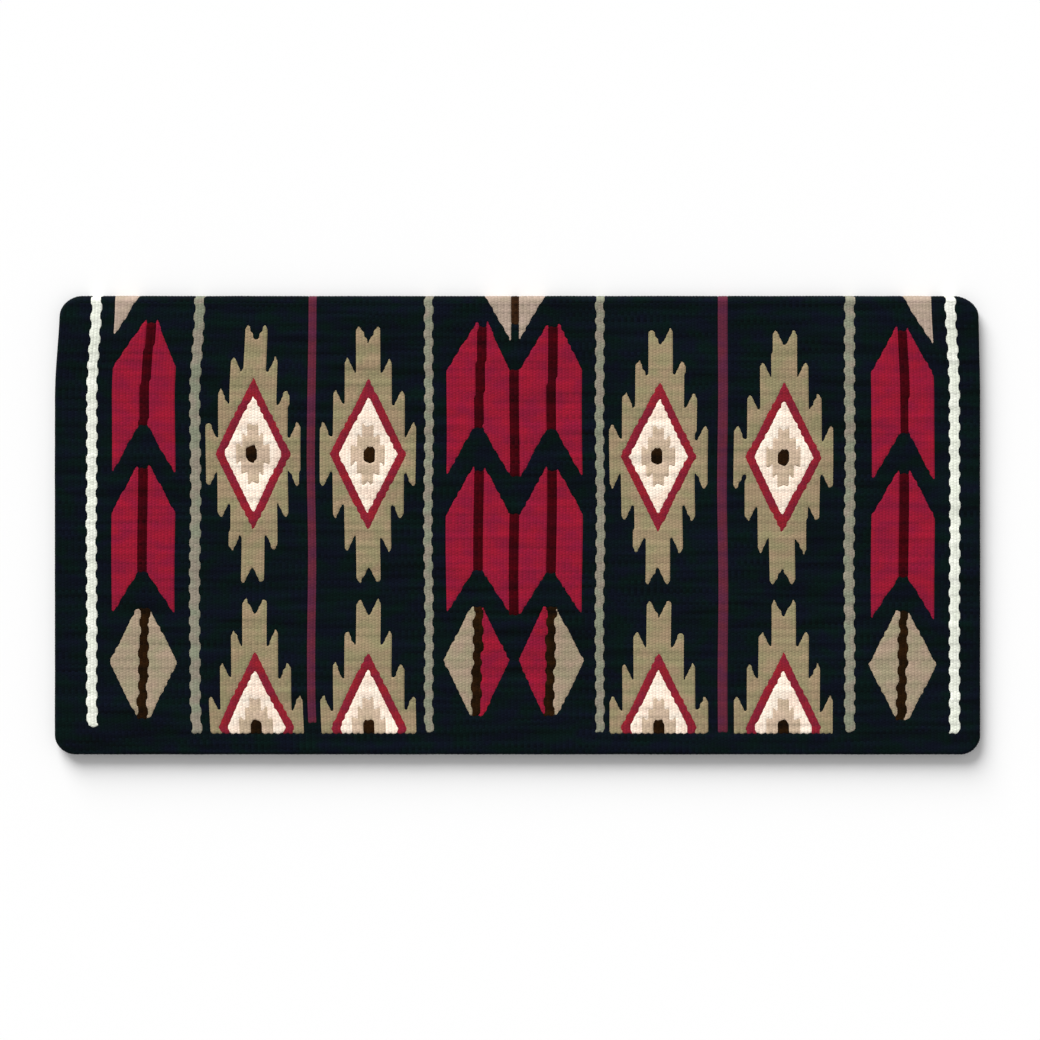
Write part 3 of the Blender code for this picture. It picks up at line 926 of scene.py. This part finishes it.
def skin_mesh(name, mask, near, off, sheet, first_column):
    """Part of the skin round the back of the fold, as a closed thin shell."""
    rows, columns = mask.shape
    half = rows // 2
    shape = sheet.x.shape
    last = first_column + columns + 1
    near_rows = slice(shape[0] - 1 - half, shape[0])

    def around(near_values, off_values):
        upper = near_values.reshape(*shape, -1)[near_rows, first_column:last]
        lower = off_values.reshape(*shape, -1)[near_rows, first_column:last]
        middle = (upper[-1:] + lower[-1:]) / 2
        return np.concatenate([lower[:-1], middle, upper[:-1][::-1]])

    sunk = sheet.sunk.reshape(-1, 1)
    lift = around(near.outer_lift, off.outer_lift)
    outer = around(near.outer + sunk * near.outer_lift, off.outer + sunk * off.outer_lift)
    reach = np.abs(np.arange(rows + 1) - half) / half
    thin = skin_thickness * (skin_rim_share + (1 - skin_rim_share) * np.sin(math.pi * reach))
    inner = outer - lift * thin[:, None, None]
    across = np.tile(sheet.across[0, first_column:last], (rows + 1, 1))
    along = np.arange(rows + 1)[:, None] * bead_height / 2 + np.zeros(across.shape)
    along = along + sheet.along[-1, 0] - half * bead_height / 2
    weave = np.stack([across, along], axis=-1).reshape(-1, 2)
    border = around(sheet.border.ravel(), sheet.border.ravel()).ravel()

    quads, grid, walls = cut_out(mask)
    count = len(grid)
    sides = np.column_stack([walls, walls[:, ::-1] + count])
    faces = [quads[:, ::-1], quads + count, sides[:, ::-1]]
    outer, inner, lift = (values.reshape(-1, 3) for values in (outer, inner, lift))
    return flat_mesh(
        name,
        np.concatenate([outer[grid], inner[grid]]),
        faces,
        np.concatenate([lift[grid], lift[grid]]),
        np.concatenate([weave[grid], weave[grid] + [inner_shift, 0.0]]),
        np.concatenate([border[grid], border[grid]]),
    )


def dressed(mesh, tree, material):
    """An object that wears the relief tree, with its inputs set by their identifiers."""
    thing = bpy.data.objects.new(mesh.name, mesh)
    bpy.context.scene.collection.objects.link(thing)
    modifier = thing.modifiers.new("relief", "NODES")
    modifier.node_group = tree
    wanted = {
        "Rib depth": rib_depth,
        "Bead depth": bead_depth,
        "Slit depth": slit_depth,
        "Uneven depth": uneven_depth,
        "Uneven size": uneven_size,
        "Yarn": material,
    }
    for item in tree.interface.items_tree:
        if item.in_out == "INPUT" and item.name in wanted:
            modifier[item.identifier] = wanted[item.name]
    return thing


def make_plain(things):
    """Turn every dressed object into a plain mesh and take its modifier away."""
    graph = bpy.context.evaluated_depsgraph_get()
    made = [bpy.data.meshes.new_from_object(thing.evaluated_get(graph)) for thing in things]
    for thing, mesh in zip(things, made):
        thing.modifiers.clear()
        thing.data = mesh
        for key in ("across", "along", "border", "lift"):
            mesh.attributes.remove(mesh.attributes[key])
        mesh.set_sharp_from_angle(angle=math.radians(sharp_edge))


Piece = namedtuple("Piece", "thing layer yarn node cells")


def ground_zones(sheet, cells):
    """The ground weave in five zones side by side, parted along four of the stripes."""
    parts = ("crimson_stripe_left", "tan_stripe_mid_left", "tan_stripe_mid_right", "crimson_stripe_right")
    middles = [centre_and_size("near_" + stripe)[0] for stripe in parts]
    x = (sheet.u[:-1, :-1] + sheet.u[1:, 1:]) / 2
    numbers = np.searchsorted(middles, x)
    names = ("left", "mid_left", "middle", "mid_right", "right")
    return {name: (cells == 0) & (numbers == i) for i, name in enumerate(names)}, numbers


def layer_areas(layer, pattern, zones):
    """Name, yarn, CAD node and cells of a layer's pieces. Areas without a node are joined by yarn."""
    ground = layer.name + "_ground_weave"
    for zone, cells in zones.items():
        yield layer.name + "_ground_" + zone, "ground", ground, cells
    joined = {}
    for number, (name, yarn, node) in enumerate(pattern.areas[1:], 1):
        cells = pattern.cells == number
        node = layer.name + "_" + node
        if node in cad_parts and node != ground:
            yield layer.name + "_" + name + "_weft", yarn, node, cells
        else:
            joined[yarn] = joined.get(yarn, False) | cells
    for yarn, cells in joined.items():
        yield layer.name + "_" + yarn + "_inlays", yarn, ground, cells


def make_cloth():
    """Both layers in all their colours, and the skin that joins them round the fold."""
    sheet = Sheet()
    pattern = Pattern(sheet)
    pattern.weave()
    sheet.ease_borders(np.where(sheet.inside, pattern.cells, 0))
    sheet.settle()
    columns = sheet.skin_columns()
    near = Layer(sheet, "near", "near_side", near_low.z, 1)
    off = Layer(sheet, "off", "off_side", off_high.z, -1)

    tree = relief_tree()
    yarns = {name: wool(name) for name in yarn_table}
    zones, zone_numbers = ground_zones(sheet, pattern.cells)
    pieces = []
    for layer in (near, off):
        for name, yarn, node, cells in layer_areas(layer, pattern, zones):
            thing = dressed(woven_piece(name, cells, layer, sheet), tree, yarns[yarn])
            pieces.append(Piece(thing, layer, yarn, node, cells))
    skins = []
    for yarn, cells in fold_band(pattern, columns):
        mesh = skin_mesh("fold_back_" + yarn, cells, near, off, sheet, columns.start)
        skins.append((dressed(mesh, tree, yarns[yarn]), yarn))
    make_plain([piece.thing for piece in pieces] + [thing for thing, _ in skins])
    declare_pieces(pieces, skins)
    declare_sheets(sheet, zones, zone_numbers, pieces)


def fold_band(pattern, columns):
    """Yarns and their cells in the skin: the last rows of the off side, and back over the near."""
    band = pattern.cells[-skin_rows:, columns]
    band = np.concatenate([band, band[::-1]])
    for yarn in yarn_table:
        owners = [number for number, area in enumerate(pattern.areas) if area[1] == yarn]
        cells = np.isin(band, owners)
        if cells.any():
            yield yarn, cells


def declare_pieces(pieces, skins):
    """Attach each piece to its layer's body and hide the CAD node that it stands for. The skins only get
    their transforms baked in.
    """
    for piece in pieces:
        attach(piece.thing, piece.layer.body)
        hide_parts(piece.node)
    for thing, yarn in skins:
        low, high = (0, fold_y, fold_z - skin_reach), (0, fold_y, fold_z + skin_reach)
        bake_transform(thing)
        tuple(low)
        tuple(high)


def declare_sheets(sheet, zones, zone_numbers, pieces):
    """Work out for each zone of ground weave its inlays, area and flat size before the cloth was folded;
    nothing further is done with them.
    """
    wide = 2 * sheet.side_reach / sheet.columns
    length = float(sheet.fold_reach - sheet.hem_reach)
    for piece in pieces:
        if piece.yarn == "ground":
            number = round(zone_numbers[piece.cells].mean())
            columns = (sheet.inside & (zone_numbers == number)).any(axis=0).sum()
            inlays = [
                other.thing
                for other in pieces
                if other.layer is piece.layer
                and other.yarn != "ground"
                and round(zone_numbers[other.cells].mean()) == number
            ]
            area = float(piece.cells.sum() * wide * length / sheet.rows)
            flat = (float(columns * wide), length)


def make_floor():
    """A white floor that keeps the blanket's shadow."""
    mesh = bpy.data.meshes.new("floor")
    corners = [(-floor_half, -floor_half, 0), (floor_half, -floor_half, 0)]
    corners += [(floor_half, floor_half, 0), (-floor_half, floor_half, 0)]
    mesh.from_pydata(corners, [], [(0, 1, 2, 3)])
    floor = bpy.data.objects.new("floor", mesh)
    bpy.context.scene.collection.objects.link(floor)
    material = bpy.data.materials.new("white_floor")
    material.use_nodes = True
    nodes = Nodes(material.node_tree)
    shader = material.node_tree.nodes["Principled BSDF"]
    shader.inputs["Base Color"].default_value = (floor_white, floor_white, floor_white, 1)
    shader.inputs["Roughness"].default_value = 1.0
    shader.inputs["Specular IOR Level"].default_value = 0.0
    shader.inputs["Emission Strength"].default_value = 1.0
    seen = seen_ray(nodes)
    lift = seen * floor_lift
    glow = nodes.add("ShaderNodeCombineColor", values={"Red": lift, "Green": lift, "Blue": lift})
    nodes.feed(shader.inputs["Emission Color"], glow.outputs[0])
    mesh.materials.append(material)


def seen_ray(nodes):
    """1 for rays that the camera, gloss or glass sends, and 0 for those that light things."""
    path = nodes.add("ShaderNodeLightPath")
    seen = nodes.maths("MAXIMUM", nodes.number(path, "Is Camera Ray"), nodes.number(path, "Is Glossy Ray"))
    return nodes.maths("MAXIMUM", seen, nodes.number(path, "Is Transmission Ray"))


def make_light():
    """An even sky, and one broad soft sun behind the fold, a little to the left."""
    world = bpy.data.worlds.new("studio")
    bpy.context.scene.world = world
    world.use_nodes = True
    nodes = Nodes(world.node_tree)
    background = world.node_tree.nodes["Background"]
    background.inputs["Color"].default_value = (1, 1, 1, 1)
    seen = seen_ray(nodes)
    nodes.feed(background.inputs["Strength"], sky_level + seen * (1 - sky_level))
    elevation = math.radians(sun_elevation)
    sun = bpy.data.lights.new("sun", "SUN")
    sun.energy = sun_level * math.pi / math.sin(elevation)
    sun.angle = math.radians(sun_spread)
    thing = bpy.data.objects.new("sun", sun)
    bpy.context.scene.collection.objects.link(thing)
    thing.rotation_euler = (elevation - math.pi / 2, 0, math.radians(sun_turn))


def make_camera():
    """Straight down from far above, framed as the photograph is."""
    lens = bpy.data.cameras.new("camera")
    lens.sensor_width = sensor_width
    lens.lens = sensor_width * camera_height / photo_width
    lens.clip_end = camera_reach
    camera = bpy.data.objects.new("camera", lens)
    bpy.context.scene.collection.objects.link(camera)
    camera.location = (*photo_centre, near_high.z + camera_height)
    bpy.context.scene.camera = camera


make_camera()
make_light()
make_floor()
make_cloth()
bpy.context.scene.view_settings.view_transform = "Standard"
